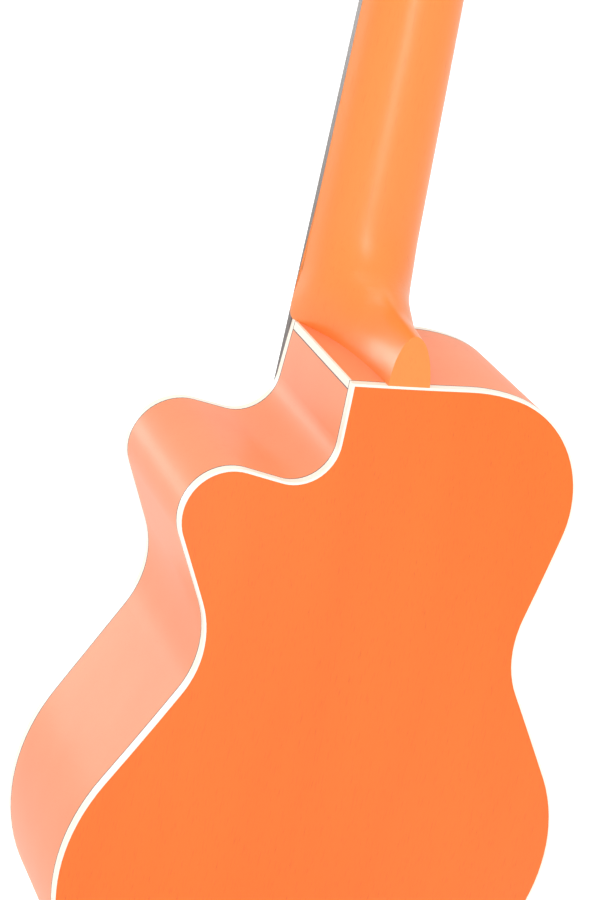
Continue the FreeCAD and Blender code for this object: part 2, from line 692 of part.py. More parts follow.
def brace_span(place):
    """The room between the linings over a brace's whole width."""
    inset = "side_thickness + lining_thickness + glue_line"
    middle = value(place)
    edges = [middle + value("brace_width") * share for share in (-1 / 2, 0, 1 / 2)]
    spans = [rim_span(inset, edge) for edge in edges]
    return max(span[0] for span in spans), min(span[1] for span in spans)


def make_back_brace(label, place):
    """A bar across the back, its glued edge arched to the dome."""
    low, high = brace_span(place)
    middle = value(place)
    top = value(DEEP)
    inner = dome_depth(0, middle) - value("back_thickness + brace_height")
    edge = min(dome_depth(x, middle) for x in (low, high)) - value("back_thickness")
    tip = edge - value("brace_height") * value("brace_tip_share")
    scallop = value("brace_scallop")
    corners = [(low, top), (high, top), (high, tip), (high - scallop, inner), (low + scallop, inner),
               (low, tip)]
    corners = [vector(x, y, 0) for x, y in corners]
    bar = Part.Face(Part.makePolygon(corners + corners[:1])).extrude(vector(0, 0, value("brace_width")))
    bar.translate(vector(0, 0, middle - value("brace_width") / 2))
    node(label, join("Common", label, helper(label + "_bar", bar), ball(label + "_ball", BACK_INSIDE)))


def dome_depth(x, z):
    """How deep the back's outer face lies at a place."""
    radius = value("dome_radius")
    centre_y = value("body_depth") - math.sqrt(radius ** 2 - value("dome_apex") ** 2)
    centre_z = value(SHOULDER) - value("dome_apex")
    return centre_y + math.sqrt(radius ** 2 - x ** 2 - (z - centre_z) ** 2)


def make_fan_braces():
    """Three light bars that fan out from the bridge plate to the tail block."""
    bars = []
    start = value(BRIDGE_PLATE + " - plate_length / 2 - fan_width / 2")
    length = start - value(TAIL + " + side_thickness + tail_block_length + fan_gap")
    half = value("fan_width") / 2
    plate = value("top_thickness")
    tip = plate + value("fan_height") * value("brace_tip_share")
    full = plate + value("fan_height")
    taper = value("fan_taper")
    for place in (-1, 0, 1):
        profile = [(plate, 0), (tip, 0), (full, -taper), (full, taper - length), (tip, -length),
                   (plate, -length)]
        corners = [vector(-half, y, z) for y, z in profile]
        bar = Part.Face(Part.makePolygon(corners + corners[:1])).extrude(vector(2 * half, 0, 0))
        bar.rotate(vector(0, 0, 0), vector(0, 1, 0), place * -value("fan_angle"))
        bar.translate(vector(place * value("fan_spacing"), 0, start))
        bars.append(bar)
    keep("fan_braces", Part.makeCompound(bars))


# Neck

def rounded_section(half_width, depth, power, origin, across, inward):
    """A section of the neck: a rounded nose, whose cheeks still lean in where they meet the
    joint and are widest a little past it, and then run on straight. Origin is the middle of the
    joint, inward points from there to the nose."""
    steps = 4
    tail = value("cut_overrun")
    rise = 2 / power
    sink = depth * value("cheek_sink_ratio")
    whole = depth + sink
    last = math.acos((sink / whole) ** (1 / rise))
    widest = half_width / math.sin(last) ** rise
    turns = [last * step / steps for step in range(-steps, steps + 1)]
    points = []
    for turn in [-math.pi / 2] + turns + [math.pi / 2]:
        sideways = math.copysign(abs(math.sin(turn)) ** rise, turn) * widest
        points.append(origin + across * sideways + inward * (math.cos(turn) ** rise * whole - sink))
    nose = Part.BSplineCurve()
    nose.interpolate(points, InitialTangent=inward, FinalTangent=inward * -1)
    low = points[0] - inward * tail
    high = points[-1] - inward * tail
    edges = [nose.toShape(), Part.LineSegment(points[-1], high).toShape(),
             Part.LineSegment(high, low).toShape(), Part.LineSegment(low, points[0]).toShape()]
    return Part.Wire(edges)


def heel_reach(depth, ratio):
    """How far the heel reaches to one side where it meets the body, at a depth behind the board."""
    cap = value("heel_cap_width") / 2
    rest = max(0.0, 1 - depth / value("body_depth"))
    return cap + (value("board_width") / 2 - cap) * rest ** ratio


def heel_section(origin, depth, power, inward):
    """A section of the heel, which is slimmer on the cutaway's side than on the bass side."""
    bass = heel_reach(origin.y, value("heel_flare_ratio"))
    treble = heel_reach(origin.y, value("heel_scoop_ratio"))
    middle = origin + vector((treble - bass) / 2, 0, 0)
    return rounded_section((bass + treble) / 2, depth, power, middle, vector(1, 0, 0), inward)


def neck_sections():
    """Sections square to the neck from the headstock to the heel, then fanned round the
    hollow of the heel, then square to the heel down to the back. The first list is the
    straight neck and the second one the curved heel, which begins with the last of the first."""
    across = vector(1, 0, 0)
    shoulder = value(SHOULDER)
    sweep = value("heel_sweep_radius")
    hub_y = value("neck_depth_body") + sweep
    hub_z = shoulder + value("heel_cap_length") + sweep
    hub = vector(0, hub_y, hub_z)
    steps = 6
    stride = sweep * math.pi / 2 / steps
    lean = math.radians(value("head_tilt"))
    head_back = value("neck_depth_nut") - value("head_thickness") / math.cos(lean)
    blend = value("nut_thickness") + head_back / math.tan(lean)
    neck_power = value("neck_round_ratio")
    places = [(blend * share, neck_power + (value("head_round_ratio") - neck_power) * power_share)
              for share, power_share in BLEND_SHARES]
    places += [(hub_z + count * stride, neck_power) for count in range(steps, -1, -1)]
    shaft = []
    gain = value("neck_depth_body") - value("neck_depth_nut")
    for place, power in places:
        depth = value("neck_depth_nut") + gain * place / hub_z
        shaft.append(rounded_section(board_half_width(-place), depth, power, vector(0, 0, place), across,
                                     vector(0, 1, 0)))
    first = len(BLEND_SHARES)
    heel = shaft[first:]
    corner = math.atan2(hub_z - shoulder, hub_y)
    for step in range(1, steps):
        fan = math.pi / 2 * step / steps
        inward = vector(0, math.cos(fan), math.sin(fan))
        power = neck_power + (value("cap_round_ratio") - neck_power) * step / steps
        if fan < corner:
            origin = vector(0, 0, hub_z - hub_y * math.tan(fan))
            depth = (hub - origin).Length - sweep
            heel.append(rounded_section(board_half_width(-origin.z), depth, power, origin, across, inward))
        else:
            origin = vector(0, hub_y - (hub_z - shoulder) / math.tan(fan), shoulder)
            heel.append(heel_section(origin, (hub - origin).Length - sweep, power, inward))
    while hub_y < value("body_depth") + stride:
        heel.append(heel_section(vector(0, hub_y, shoulder), value("heel_cap_length"),
                                 value("cap_round_ratio"), vector(0, 0, 1)))
        hub_y += stride
    return shaft[:first + 1], heel


HEAD = FreeCAD.Placement(vector(0, 0, value("nut_thickness")),
                         FreeCAD.Rotation(vector(1, 0, 0), -value("head_tilt")))


def head_outline():
    """The headstock seen from the front, in its own plane: flare, long edges and a crown."""
    nut = value("nut_width") / 2
    low = value("head_low_width") / 2
    top = value("head_top_width") / 2
    flare = value("head_flare_length")
    shoulder = value("head_length") - value("crown_height")
    out, on = FLARE_BOW_SHARES
    bow = (nut + (low - nut) * out, flare * on)
    corners = {side: [vector(side * x, 0, s) for x, s in ((nut, 0), bow, (low, flare), (top, shoulder))]
               for side in (-1, 1)}
    right, left = corners[1], corners[-1]
    crown = vector(0, 0, value("head_length"))
    edges = [Part.LineSegment(left[0], right[0]).toShape(), Part.Arc(right[0], right[1], right[2]).toShape(),
             Part.LineSegment(right[2], right[3]).toShape(), Part.Arc(right[3], crown, left[3]).toShape(),
             Part.LineSegment(left[3], left[2]).toShape(), Part.Arc(left[2], left[1], left[0]).toShape()]
    return Part.Wire(edges)


def head_cylinder(radius, start, end, x, s):
    """A round cutter or pin square to the headstock's face."""
    return Part.makeCylinder(radius, end - start, vector(x, start, s), vector(0, 1, 0))


def post_places():
    """Each post's side and place along the headstock, in the order of the strings."""
    low, high = value("lower_post"), value("upper_post")
    return [(-1, low), (-1, high), (1, high), (1, low)]


def make_neck():
    shaft, heel = neck_sections()
    far = value("scale_length")
    shoulder = value(SHOULDER)
    centre_y = value("body_depth") - math.sqrt(value("dome_radius") ** 2 - value("dome_apex") ** 2)
    dome = Part.makeSphere(value("dome_radius"), vector(0, centre_y, shoulder - value("dome_apex")))
    heel = Part.makeLoft(heel, True, False).common(dome)
    room = Part.makeBox(2 * far, far, 2 * far, vector(-far, 0, shoulder))
    shaft = Part.makeLoft(shaft, True, True).fuse(heel).common(room)
    above = Part.makeBox(2 * far, far, far, vector(-far, -far, 0))
    above.Placement = HEAD.multiply(above.Placement)
    shaft = shaft.cut(above)
    head = Part.Face(head_outline()).extrude(vector(0, value("head_thickness"), 0))
    head.Placement = HEAD
    whole = shaft.fuse(head).removeSplitter()
    cutters = dowel_solids(value("glue_line"))
    for side, s in post_places():
        x = side * value("post_offset")
        bore = value("bushing_radius + glue_line")
        seat = value("bushing_length - veneer_thickness + glue_line")
        holes = [head_cylinder(bore, -value("cut_overrun"), seat, x, s),
                 head_cylinder(value("post_radius + post_room"), 0, value("head_thickness + cut_overrun"), x, s)]
        for offset in (value("screw_top"), -value("screw_bottom")):
            holes.append(head_cylinder(value("screw_radius + running_gap"),
                                       value("head_thickness + tuner_plate_thickness - screw_length - running_gap"),
                                       value("head_thickness + cut_overrun"), x, s + offset))
        for hole in holes:
            hole.Placement = HEAD.multiply(hole.Placement)
        cutters += holes
    keep("neck", whole.cut(cutters))


def make_dowels():
    keep("neck_dowels", Part.makeCompound(dowel_solids(0)))


def make_veneer():
    """A thin dark facing that follows the headstock's outline."""
    facing = Part.Face(head_outline()).extrude(vector(0, -value("veneer_thickness"), 0))
    holes = [head_cylinder(value("bushing_radius + glue_line"), -value("veneer_thickness + cut_overrun"),
                           value("cut_overrun"), side * value("post_offset"), s) for side, s in post_places()]
    made = keep("headstock_veneer", facing.cut(holes))
    made.Placement = HEAD


# Fingerboard

def make_fingerboard():
    end = fret_place(value("fret_count")) + value("board_overrun")
    corners = [vector(-value("nut_width") / 2, 0, 0), vector(value("nut_width") / 2, 0, 0),
               vector(board_half_width(end), 0, -end), vector(-board_half_width(end), 0, -end)]
    face = Part.Face(Part.makePolygon(corners + corners[:1]))
    blank = extrude("board_blank", face, "0 - board_thickness", "0")
    cutters = []
    half_slot = value("tang_width / 2 + glue_line / 2")
    depth = value("tang_depth + glue_line")
    for number in range(1, int(value("fret_count")) + 1):
        place = -fret_place(number)
        width = board_half_width(-place) - value("fret_inset - glue_line")
        cutters.append(Part.makeBox(2 * width, depth + value("cut_overrun"), 2 * half_slot,
                                    vector(-width, -value("board_thickness + cut_overrun"), place - half_slot)))
    cutters += face_dots(value("glue_line"), value("cut_overrun"))
    cutters += side_dots(value("glue_line"), value("cut_overrun"))
    node("fingerboard", join("Cut", "fingerboard", blank, helper("board_cutters", Part.makeCompound(cutters))))


def dot_place(number):
    """Half way between a fret and the one above it."""
    return -(fret_place(number) + fret_place(number - 1)) / 2


def face_dots(room, overrun):
    """Round inlays on the board's face, two at the octave."""
    dots = []
    for number in DOT_FRETS:
        spread = (-value("dot_spacing") / 2, value("dot_spacing") / 2) if number == OCTAVE else (0,)
        for x in spread:
            start = vector(x, -value("board_thickness") - overrun, dot_place(number))
            length = value("dot_depth") + room + overrun
            dots.append(Part.makeCylinder(value("dot_radius") + room, length, start, vector(0, 1, 0)))
    return dots


def side_dots(room, overrun):
    """Small dots on the board's bass edge, which the player sees."""
    dots = []
    for number in DOT_FRETS:
        place = dot_place(number)
        edge = -board_half_width(-place) + value("glue_line")
        start = vector(edge - overrun, -value("board_thickness") / 2, place)
        length = value("side_dot_depth") + room + overrun
        dots.append(Part.makeCylinder(value("side_dot_radius") + room, length, start, vector(1, 0, 0)))
    return dots


def make_dots():
    keep("face_markers", Part.makeCompound(face_dots(0, 0)))
    keep("side_markers", Part.makeCompound(side_dots(0, 0)))


def make_frets():
    """Each fret has a round crown on the board and a tang in its slot."""
    half = value("fret_width") / 2
    tang = value("tang_width") / 2
    top = -value("board_thickness")
    frets = []
    for number in range(1, int(value("fret_count")) + 1):
        place = -fret_place(number)
        low, high = vector(0, top, place - half), vector(0, top, place + half)
        crown = Part.Arc(low, vector(0, top - value("fret_height"), place), high).toShape()
        corners = [high, vector(0, top, place + tang), vector(0, top + value("tang_depth"), place + tang),
                   vector(0, top + value("tang_depth"), place - tang), vector(0, top, place - tang), low]
        profile = Part.Wire([crown] + Part.makePolygon(corners).Edges)
        width = board_half_width(-place) - value("fret_inset")
        fret = Part.Face(profile).extrude(vector(2 * width, 0, 0))
        fret.translate(vector(-width, 0, 0))
        frets.append(fret)
    keep("frets", Part.makeCompound(frets))


def string_x(index, spacing):
    """A string's place across, from the bass side."""
    return value(spacing) * (index / (len(STRINGS) - 1) - 1 / 2)


NUT_LEVEL = "(" + CROWN_TOP + " + nut_action)"
SADDLE_LEVEL = "(" + NUT_LEVEL + " + 2 * (octave_action - nut_action))"


def make_nut():
    made = body("nut")
    profile = sketch_on(made, "YZ_Plane", "profile")
    top = "0 - %s - nut_rise" % NUT_LEVEL
    draw_polygon(profile, [("0", "0"), ("0", "nut_thickness"),
                           ("0 - %s + nut_fall" % NUT_LEVEL, "nut_thickness"),
                           (top, "nut_flat"), (top, "0")])
    pad(made, profile, "nut_width", centred=True)
    slots = sketch_on(made, "XY_Plane", "slots")
    for index, name in enumerate(STRINGS):
        radius = "string_%s_radius + slot_room" % name
        middle = "nut_spacing * (%d / %d - 1 / 2)" % (index, len(STRINGS) - 1)
        floor = "0 - %s + slot_room" % NUT_LEVEL
        draw_rectangle(slots, (middle + " - " + "(%s)" % radius, middle + " + " + radius),
                       ("0 - %s - nut_rise - cut_overrun" % NUT_LEVEL, floor))
    pocket(made, slots, "2 * nut_thickness + 2 * cut_overrun", centred=True)


def make_bridge():
    made = body("bridge", z=SADDLE)
    front, rear = "bridge_front", "bridge_front - bridge_length"
    base = sketch_on(made, "XZ_Plane", "base")
    draw_rectangle(base, ("0 - bridge_width / 2", "bridge_width / 2"), (rear, front))
    wings = pad(made, base, "wing_height")
    doc.recompute()
    corners = [index for index, edge in enumerate(wings.Shape.Edges, start=1)
               if abs(edge.Vertexes[0].Z - edge.Vertexes[-1].Z) < value("glue_line")
               and abs(edge.Vertexes[0].X - edge.Vertexes[-1].X) < value("glue_line")]
    rounded = made.newObject("PartDesign::Fillet", "bridge_corners")
    rounded.Base = (wings, ["Edge%d" % index for index in corners])
    rounded.setExpression("Radius", bind("bridge_round"))
    middle = sketch_on(made, "XZ_Plane", "middle")
    draw_rectangle(middle, ("0 - tie_block_width / 2", "tie_block_width / 2"), (rear, front))
    pad(made, middle, "tie_block_height")
    slot = sketch_on(made, "XZ_Plane", "saddle_slot")
    draw_rectangle(slot, ("0 - saddle_width / 2 - saddle_fit", "saddle_width / 2 + saddle_fit"),
                   ("0 - saddle_thickness / 2 - saddle_fit", "saddle_thickness / 2 + saddle_fit"))
    slot.AttachmentOffset = FreeCAD.Placement(vector(0, 0, 0), FreeCAD.Rotation())
    slot.setExpression("AttachmentOffset.Base.z", bind("tie_block_height - saddle_depth - saddle_fit"))
    pocket(made, slot, "saddle_depth + cut_overrun", reversed_side=True)
    knots = sketch_on(made, "XZ_Plane", "string_slots")
    knots.setExpression("AttachmentOffset.Base.z", bind("knot_height - knot_radius - knot_room"))
    for index, name in enumerate(STRINGS):
        middle = "saddle_spacing * (%d / %d - 1 / 2)" % (index, len(STRINGS) - 1)
        draw_circle(knots, middle, "0 - knot_drop", "knot_radius + knot_room")
    pocket(made, knots, "tie_block_height + cut_overrun", reversed_side=True)
    grooves = sketch_on(made, "XZ_Plane", "string_grooves")
    grooves.setExpression("AttachmentOffset.Base.z", bind("knot_height - knot_radius"))
    for index, name in enumerate(STRINGS):
        middle = "saddle_spacing * (%d / %d - 1 / 2)" % (index, len(STRINGS) - 1)
        radius = "string_%s_radius + slot_room" % name
        draw_rectangle(grooves, (middle + " - (%s)" % radius, middle + " + " + radius),
                       ("0 - knot_drop", "0 - saddle_thickness / 2 - groove_gap"))
    pocket(made, grooves, "tie_block_height + cut_overrun", reversed_side=True)


def make_saddle():
    made = body("saddle", z=SADDLE)
    profile = sketch_on(made, "YZ_Plane", "profile")
    foot = "0 - tie_block_height + saddle_depth"
    top = "0 - %s + slot_room" % SADDLE_LEVEL
    half = "saddle_thickness / 2"
    crown = [(top, half + " * %r" % share) for share in SADDLE_CROWN_SHARES]
    draw_polygon(profile, [(foot, "0 - " + half), (foot, half), (top + " + " + half, half)] + crown
                 + [(top + " + " + half, "0 - " + half)])
    pad(made, profile, "saddle_width", centred=True)


def make_bridge_plate():
    node("bridge_plate", box("bridge_plate", ("0 - plate_width / 2", "plate_width / 2"),
                             ("top_thickness", "top_thickness + plate_thickness"),
                             (BRIDGE_PLATE + " - plate_length / 2", BRIDGE_PLATE + " + plate_length / 2")))


# Strings

def arc_from(start, heading, end):
    """The arc that leaves a point with a heading and reaches another point."""
    chord = end - start
    side = chord - heading * chord.dot(heading)
    if side.Length < value("same_place"):
        return Part.LineSegment(start, end).toShape()
    side.normalize()
    radius = chord.dot(chord) / (2 * chord.dot(side))
    centre = start + side * radius
    middle = (start + end) * 0.5 - centre
    if middle.Length < value("same_place"):
        middle = heading
    middle.normalize()
    return Part.Arc(start, centre + middle * abs(radius), end).toShape()


def biarc(start, start_heading, end, end_heading):
    """Two arcs that join two points and keep both headings."""
    chord = end - start
    along_total = chord.dot(start_heading + end_heading)
    slack = 2 * (1 - start_heading.dot(end_heading))
    reach = (math.sqrt(along_total ** 2 + slack * chord.dot(chord)) - along_total) / slack
    middle = (start + start_heading * reach + end - end_heading * reach) * 0.5
    back = arc_from(end, end_heading * -1, middle)
    points = [back.valueAt(back.LastParameter), back.valueAt((back.FirstParameter + back.LastParameter) / 2)]
    second = Part.Arc(points[0], points[1], end).toShape()
    return [arc_from(start, start_heading, middle), second]


def rounded_path(points, bend):
    """Straight runs joined by tangent arcs: returns the edges, the end and its heading."""
    edges = []
    here = points[0]
    for before, corner, after in zip(points, points[1:], points[2:]):
        come = (corner - before).normalize()
        go = (after - corner).normalize()
        turn = math.acos(max(-1.0, min(1.0, come.dot(go))))
        reach = bend * math.tan(turn / 2)
        start, end = corner - come * reach, corner + go * reach
        edges.append(Part.LineSegment(here, start).toShape())
        edges.append(arc_from(start, come, end))
        here = end
    return edges, here


def make_string(index, name, side, s):
    """One string from its knot in the bridge, over the saddle and the nut, to its post,
    where it lies in two and a half turns, an unbroken tube."""
    radius = value("string_%s_radius" % name)
    to_post = HEAD.multiply(FreeCAD.Placement(vector(side * value("post_offset"), 0, s), FreeCAD.Rotation()))
    coil = value("post_waist_radius + winding_room") + radius
    pitch = 2 * radius + value("winding_gap")
    level = -value("veneer_thickness + flange_height + winding_gap") - radius
    saddle = vector(string_x(index, "saddle_spacing"), -value(SADDLE_LEVEL) - radius, value(SADDLE))
    knot = vector(saddle.x, -value("knot_height"), saddle.z - value("knot_drop"))
    nut = vector(string_x(index, "nut_spacing"), -value(NUT_LEVEL) - radius, value("nut_thickness / 2"))
    local_nut = to_post.inverse().multVec(nut)
    away = math.hypot(local_nut.x, local_nut.z)
    lean = math.atan2(-side * local_nut.x, -local_nut.z)
    swing = lean - math.asin(coil / away)
    turns = value("winding_turns")
    steps = round(turns * 4)

    def coil_point(share):
        turn = swing + 2 * math.pi * turns * share
        return vector(-side * coil * math.cos(turn), level - pitch * turns * share, coil * math.sin(turn))

    def coil_heading(share):
        turn = swing + 2 * math.pi * turns * share
        return vector(side * math.sin(turn) * coil, -pitch / 2 / math.pi, coil * math.cos(turn)).normalize()

    first = to_post.multVec(coil_point(0))
    edges, here = rounded_path([knot, saddle, nut, first], value("string_bend"))
    edges.append(Part.LineSegment(here, first).toShape())
    heading = (first - nut).normalize()
    turn_only = to_post.Rotation
    for step in range(1, steps + 1):
        end = to_post.multVec(coil_point(step / steps))
        end_heading = turn_only.multVec(coil_heading(step / steps))
        edges += biarc(first, heading, end, end_heading)
        first, heading = end, end_heading
    path = Part.Wire(edges)
    start = (saddle - knot).normalize()
    section = Part.Wire(Part.Circle(knot, start, radius).toShape())
    tube = path.makePipeShell([section], True, False)
    solid = tube.fuse(Part.makeSphere(value("knot_radius"), knot))
    keep("string_" + name, solid)
    report_gap(name, edges, radius, pitch)


def report_gap(name, edges, radius, pitch):
    """Print the least gap between the turns of a winding, measured on points of its line.
    Points of the same turn, less than a few pitches apart along the line, aren't compared."""
    last_edges, parts, same_turn = 20, 8, 3
    points = []
    length = 0
    for edge in edges[-last_edges:]:
        for part in range(parts):
            spot = edge.FirstParameter + (edge.LastParameter - edge.FirstParameter) * part / parts
            points.append((length + edge.Length * part / parts, edge.valueAt(spot)))
        length += edge.Length
    apart = [(one - other).Length for at, one in points for place, other in points
             if place - at > pitch * same_turn]
    print("string_%s: length %.1f, least gap of the winding to itself %.2f"
          % (name, sum(edge.Length for edge in edges), min(apart) - 2 * radius))


# Tuners

PLATE_BACK = "(head_thickness + tuner_plate_thickness)"
WORM_LEVEL = "(" + PLATE_BACK + " + worm_radius + tooth_addendum + worm_lift)"
WHEEL_RADIUS = "(worm_pitch * wheel_teeth / 2 / pi)"
WORM_DISTANCE = "(" + WHEEL_RADIUS + " + worm_radius + centre_play)"
THREAD_HALF = "(worm_turns * worm_pitch / 2 + worm_pitch / 4)"
LUG_INSIDE = "(" + THREAD_HALF + " + lug_gap)"


def in_head(shape):
    """Move a shape from the headstock's own frame to the ukulele's."""
    moved = shape.copy()
    moved.Placement = HEAD.multiply(moved.Placement)
    return moved


def make_tuner_plate(label, side, s):
    """A brass plate with two lugs folded up to carry the worm's shaft."""
    x = side * value("post_offset")
    base, back = value("head_thickness"), value(PLATE_BACK)
    half = value("plate_half_width")
    low, high = s - value("plate_bottom"), s + value("plate_top")
    round_end = value("plate_bow")
    corners = [vector(x - half, base, low + round_end), vector(x - half, base, high - round_end),
               vector(x + half, base, high - round_end), vector(x + half, base, low + round_end)]
    edges = [Part.LineSegment(corners[0], corners[1]).toShape(),
             Part.Arc(corners[1], vector(x, base, high), corners[2]).toShape(),
             Part.LineSegment(corners[2], corners[3]).toShape(),
             Part.Arc(corners[3], vector(x, base, low), corners[0]).toShape()]
    plate = Part.Face(Part.Wire(edges)).extrude(vector(0, back - base, 0))
    worm_s = s - value(WORM_DISTANCE)
    worm_y = value(WORM_LEVEL)
    wide = value("lug_half_width")
    top = worm_y + value("shaft_radius + lug_cover")
    lugs = []
    for direction in (-1, 1):
        inside = direction * value(LUG_INSIDE)
        start = x + min(inside, inside + direction * value("lug_thickness"))
        square = Part.makeBox(value("lug_thickness"), worm_y - base, 2 * wide,
                              vector(start, base, worm_s - wide))
        round_top = Part.makeCylinder(wide, value("lug_thickness"), vector(start, worm_y, worm_s),
                                      vector(1, 0, 0))
        lugs.append(square.fuse(round_top))
    plate = plate.fuse(lugs)
    reach = value(LUG_INSIDE + " + lug_thickness + cut_overrun")
    holes = [Part.makeCylinder(value("shaft_radius + running_gap"), 2 * reach,
                               vector(x - reach, worm_y, worm_s), vector(1, 0, 0)),
             head_cylinder(value("post_radius + running_gap"), base - reach, back + reach, x, s)]
    for offset in (value("screw_top"), -value("screw_bottom")):
        holes.append(head_cylinder(value("screw_radius + running_gap"), base - reach, back + reach, x,
                                   s + offset))
    keep(label, in_head(plate.cut(holes).removeSplitter()))


def make_worm(label, side, s):
    """A shaft with three turns of worm thread, facing the wheel with a gap between two turns."""
    turns, pitch = value("worm_turns"), value("worm_pitch")
    root = value("worm_radius - tooth_dedendum")
    tip = value("worm_radius + tooth_addendum")
    slope = math.tan(math.radians(value("pressure_angle")))
    half_pitch_line = pitch / 4 - value("tooth_play") / 2
    low = half_pitch_line + slope * value("tooth_dedendum")
    high = half_pitch_line - slope * value("tooth_addendum")
    sunk = root - value("tooth_play")
    corners = [vector(sunk, 0, -low), vector(tip, 0, -high), vector(tip, 0, high), vector(sunk, 0, low)]
    helix = Part.makeHelix(pitch, turns * pitch, root)
    thread = Part.Wire(helix.Edges).makePipeShell([Part.makePolygon(corners + corners[:1])], True, True)
    thread.translate(vector(0, 0, -turns * pitch / 2))
    half = value(THREAD_HALF)
    core = Part.makeCylinder(root, 2 * half, vector(0, 0, -half))
    inner = value(LUG_INSIDE + " + lug_thickness + shaft_tail")
    outer = value("button_start - post_offset + button_bore")
    start, end = (-inner, outer) if side > 0 else (-outer, inner)
    shaft = Part.makeCylinder(value("shaft_radius"), end - start, vector(0, 0, start))
    worm = core.fuse([thread, shaft])
    worm.Placement = worm_place(side, s)
    keep(label, in_head(worm))


def worm_place(side, s):
    """The worm's axis along x, with its first direction towards the wheel."""
    axes = FreeCAD.Matrix(0, 0, 1, side * value("post_offset"),
                          0, -1, 0, value(WORM_LEVEL),
                          1, 0, 0, s - value(WORM_DISTANCE),
                          0, 0, 0, 1)
    return FreeCAD.Placement(axes)


def make_button(label, side, s):
    """A moulded oval button, narrow where it meets the shaft."""
    sections = []
    for length_share, width_share, thickness_share in BUTTON_SHARES:
        place = vector(0, 0, side * value("button_length") * length_share)
        wide = value("button_half_width") * width_share
        thick = value("button_half_thickness") * thickness_share
        ellipse = Part.Ellipse(vector(0, 0, 0), wide, thick).toShape()
        ellipse.translate(place)
        sections.append(Part.Wire(ellipse))
    button = Part.makeLoft(sections, True, False)
    bore = Part.makeCylinder(value("shaft_radius + running_gap"), value("button_bore + running_gap + cut_overrun"),
                             vector(0, 0, -side * value("cut_overrun")), vector(0, 0, side))
    button = button.cut(bore)
    button.translate(vector(0, 0, side * value("button_start - post_offset")))
    button.Placement = worm_place(side, s).multiply(button.Placement)
    keep(label, in_head(button))


def wheel_outline(turn, level):
    """The toothed wheel's edge at a level, one tooth towards the worm at a turn of zero."""
    radius = value(WHEEL_RADIUS)
    pressure = math.radians(value("pressure_angle"))
    base = radius * math.cos(pressure)
    half_tooth = (value("worm_pitch") / 2 - value("tooth_play")) / 2 / radius

    def half_angle(distance):
        lean = math.acos(min(1.0, base / distance))
        return half_tooth + (math.tan(pressure) - pressure) - (math.tan(lean) - lean)

    stations = [(radius - value("tooth_dedendum"), half_angle(base)),
                (radius, half_angle(radius)),
                (radius + value("tooth_addendum"), half_angle(radius + value("tooth_addendum")))]
    points = []
    teeth = int(value("wheel_teeth"))
    for tooth in range(teeth):
        middle = math.pi + turn + 2 * math.pi * tooth / teeth
        for distance, angle in [(d, -a) for d, a in stations] + [(d, a) for d, a in reversed(stations)]:
            place = middle + angle
            points.append(vector(distance * math.sin(place), level, distance * math.cos(place)))
    return Part.makePolygon(points + points[:1])


def make_wheel(label, side, s):
    """A brass wheel with slanted teeth that match the worm's thread, on a round hub."""
    half = value("wheel_width") / 2
    lean = value("worm_pitch") / (2 * math.pi * value("worm_radius"))
    twist = half * lean / value(WHEEL_RADIUS)
    middle = value(WORM_LEVEL)
    rim_solid = Part.makeLoft([wheel_outline(-twist, middle - half), wheel_outline(twist, middle + half)],
                              True, True)
    foot = value(PLATE_BACK + " + wheel_lift")
    hub = Part.makeCylinder(value("hub_radius"), middle - foot, vector(0, foot, 0), vector(0, 1, 0))
    bore = Part.makeCylinder(value("spigot_radius + glue_line"), 2 * middle, vector(0, 0, 0), vector(0, 1, 0))
    wheel = rim_solid.fuse(hub).cut(bore)
    wheel.translate(vector(side * value("post_offset"), 0, s))
    keep(label, in_head(wheel))


def make_post(label, side, s):
    """A turned post: a peened spigot for the wheel, a journal, a waist for the string and a head."""
    face = -value("veneer_thickness + flange_height")
    waist = face - value("running_gap")
    top = waist - value("post_waist_length")
    end = top - value("post_cap_length")
    journal = value(PLATE_BACK + " + wheel_lift - glue_line")
    rivet = value(WORM_LEVEL + " + wheel_width / 2 + glue_line")
    shaft, narrow = value("post_radius"), value("post_waist_radius")
    spigot, head = value("spigot_radius"), value("rivet_radius")
    ease = shaft - narrow
    profile = [(0, end), (shaft - ease, end), (shaft, end + ease), (shaft, top), (narrow, top + ease),
               (narrow, waist - ease), (shaft, waist), (shaft, journal), (spigot, journal), (spigot, rivet),
               (head, rivet), (head - value("rivet_height") / 2, rivet + value("rivet_height")),
               (0, rivet + value("rivet_height"))]
    corners = [vector(x, y, 0) for x, y in profile]
    post = Part.Face(Part.makePolygon(corners + corners[:1])).revolve(vector(0, 0, 0), vector(0, 1, 0), 360)
    reach = value("post_radius + cut_overrun")
    hole = Part.makeCylinder(value("post_hole_radius"), 2 * reach,
                             vector(0, top + ease + value("post_hole_radius + running_gap"), -reach),
                             vector(0, 0, 1))
    post = post.cut(hole)
    post.translate(vector(side * value("post_offset"), 0, s))
    keep(label, in_head(post))


def make_bushings():
    """Pressed ferrules that guide the posts at the headstock's face."""
    bushings = []
    for side, s in post_places():
        x = side * value("post_offset")
        face = -value("veneer_thickness")
        flange = head_cylinder(value("flange_radius"), face - value("flange_height"), face, x, s)
        sleeve = head_cylinder(value("bushing_radius"), face, face + value("bushing_length"), x, s)
        bore = head_cylinder(value("post_radius + running_gap"), face - 2 * value("flange_height"),
                             face + 2 * value("bushing_length"), x, s)
        bushings.append(in_head(flange.fuse(sleeve).removeSplitter().cut(bore)))
    keep("post_bushings", Part.makeCompound(bushings))


